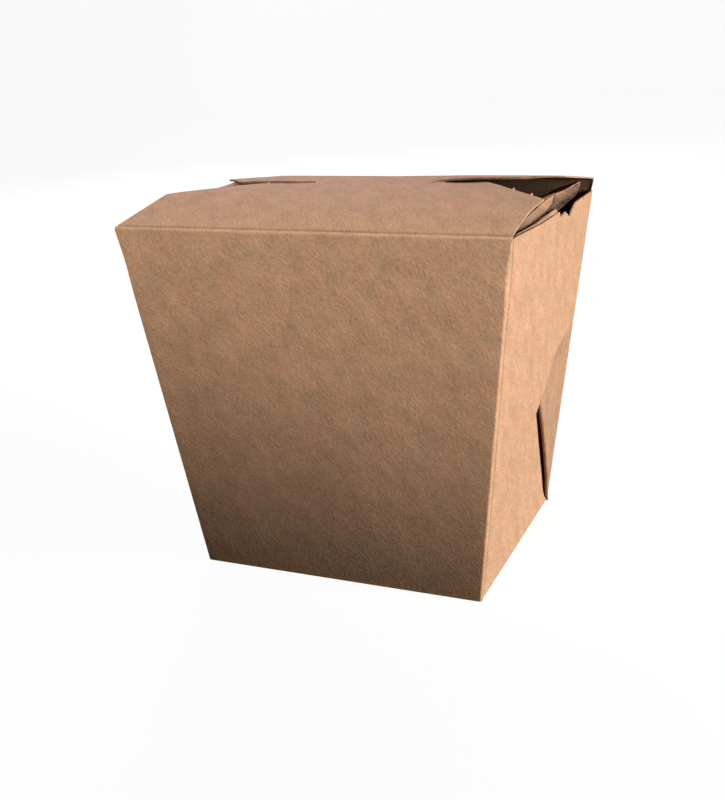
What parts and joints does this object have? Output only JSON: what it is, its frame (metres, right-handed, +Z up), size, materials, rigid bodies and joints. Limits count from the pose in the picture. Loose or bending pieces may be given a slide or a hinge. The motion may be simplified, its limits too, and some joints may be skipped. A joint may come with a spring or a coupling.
{
  "type": "noodle takeaway box",
  "caption": "Tapered folded kraft board carton for takeaway noodles, shut by interlocking arched top flaps, with folded webs on its sides.",
  "frame": {"origin": "middle of the base, on the surface that the box stands on", "axes": "+Z up, -Y towards the wide front panel, +X towards the side wall whose back corner gapes open"},
  "size_m": [0.1054, 0.082, 0.1022],
  "materials": {
    "kraft_board": "matte uncoated brown kraft board with fine fibres"
  },
  "bodies": {
    "root": {"carton": "kraft_board"}
  },
  "joints": []
}
